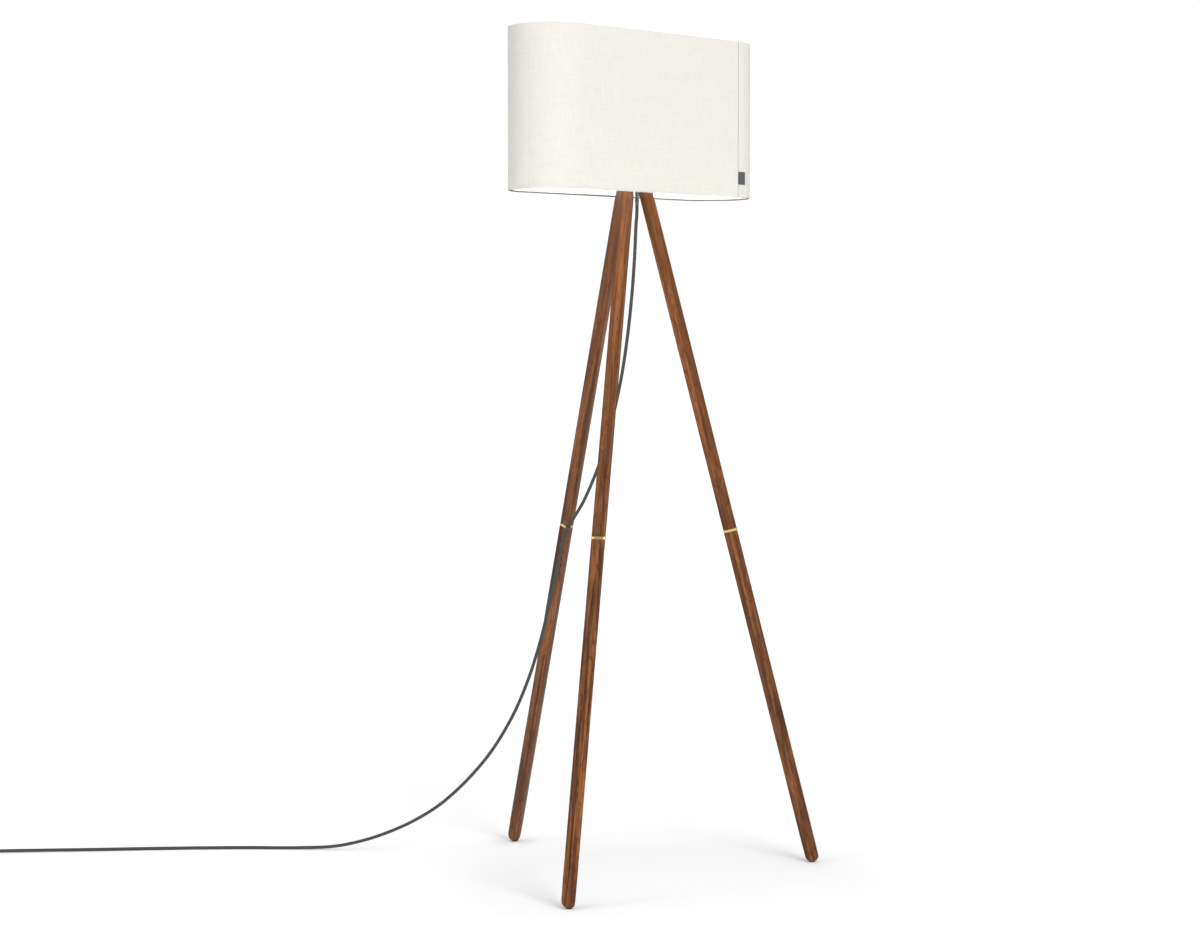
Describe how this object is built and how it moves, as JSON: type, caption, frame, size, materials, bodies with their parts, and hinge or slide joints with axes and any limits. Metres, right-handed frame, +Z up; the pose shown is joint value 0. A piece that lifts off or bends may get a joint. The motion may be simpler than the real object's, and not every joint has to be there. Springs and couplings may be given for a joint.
{
  "type": "tripod floor lamp",
  "caption": "Floor lamp with a long straight-sided oval fabric shade on a harp, over a tripod of splayed wooden legs joined by brass rings, with a trailing mains cord.",
  "frame": {"origin": "on the floor, under the centre of the lamp's own box, without its cord", "axes": "+Z up; +X along the shade's long side; the back leg points to +Y"},
  "size_m": [1.1903, 1.3943, 1.6],
  "materials": {
    "walnut": "satin oiled, straight grain along the leg",
    "brass": "satin brushed",
    "steel": "zinc plated",
    "black_metal": "fine matt powder coat",
    "white_metal": "white enamelled wire",
    "glide": "moulded brown nylon",
    "bakelite": "moulded phenolic",
    "knob": "moulded, lightly glossy",
    "bulb_base": "rolled thread",
    "bulb_glass": "opal coated inside",
    "linen": "off-white linen, plain weave with slubs",
    "liner": "white styrene sheet",
    "tag": "dark grey woven label, plain",
    "cord_jacket": "dark grey-green braided textile over insulation",
    "cord_plastic": "moulded dark grey",
    "tie": "black hook-and-loop strap"
  },
  "bodies": {
    "stand": {"upper_leg_back": "walnut", "lower_leg_back": "walnut", "brass_ring_back": "brass", "join_stud_back": "steel", "hub_stud_back": "steel", "foot_glide_back": "glide", "upper_leg_left": "walnut", "lower_leg_left": "walnut", "brass_ring_left": "brass", "join_stud_left": "steel", "hub_stud_left": "steel", "foot_glide_left": "glide", "upper_leg_right": "walnut", "lower_leg_right": "walnut", "brass_ring_right": "brass", "join_stud_right": "steel", "hub_stud_right": "steel", "foot_glide_right": "glide", "hub_body": "black_metal", "hub_cover": "black_metal", "stem_tube": "brass", "stem_lock_nut": "steel", "stem_collar": "brass", "strain_relief": "cord_plastic", "holder_cap": "brass", "holder_shell": "brass", "switch_block": "bakelite", "bulb_base": "bulb_base", "bulb_glass": "bulb_glass", "saddle_nut": "brass", "harp_saddle": "brass", "harp_frame": "brass", "finial": "brass", "cord_tube": "cord_jacket", "cord_coil": "cord_jacket", "cord_tail": "cord_jacket", "cord_tie": "tie", "plug": "cord_plastic", "cord_clip": "cord_plastic", "cover_screw_1": "steel", "cover_screw_2": "steel", "cover_screw_3": "steel"},
    "shade": {"shade_cover": "linen", "shade_liner": "liner", "shade_top_frame": "white_metal", "shade_bottom_hoop": "white_metal", "shade_tag": "tag"},
    "knob": {"switch_knob": "knob"}
  },
  "joints": [
    {"name": "shade_swivel", "type": "hinge", "parent": "stand", "child": "shade", "pos_m": [0.0103, -0.0808, 1.574], "axis": [0, 0, 1], "continuous": true},
    {"name": "switch_turn", "type": "hinge", "parent": "stand", "child": "knob", "pos_m": [0.0103, -0.1008, 1.407], "axis": [0, -1, 0], "continuous": true}
  ]
}
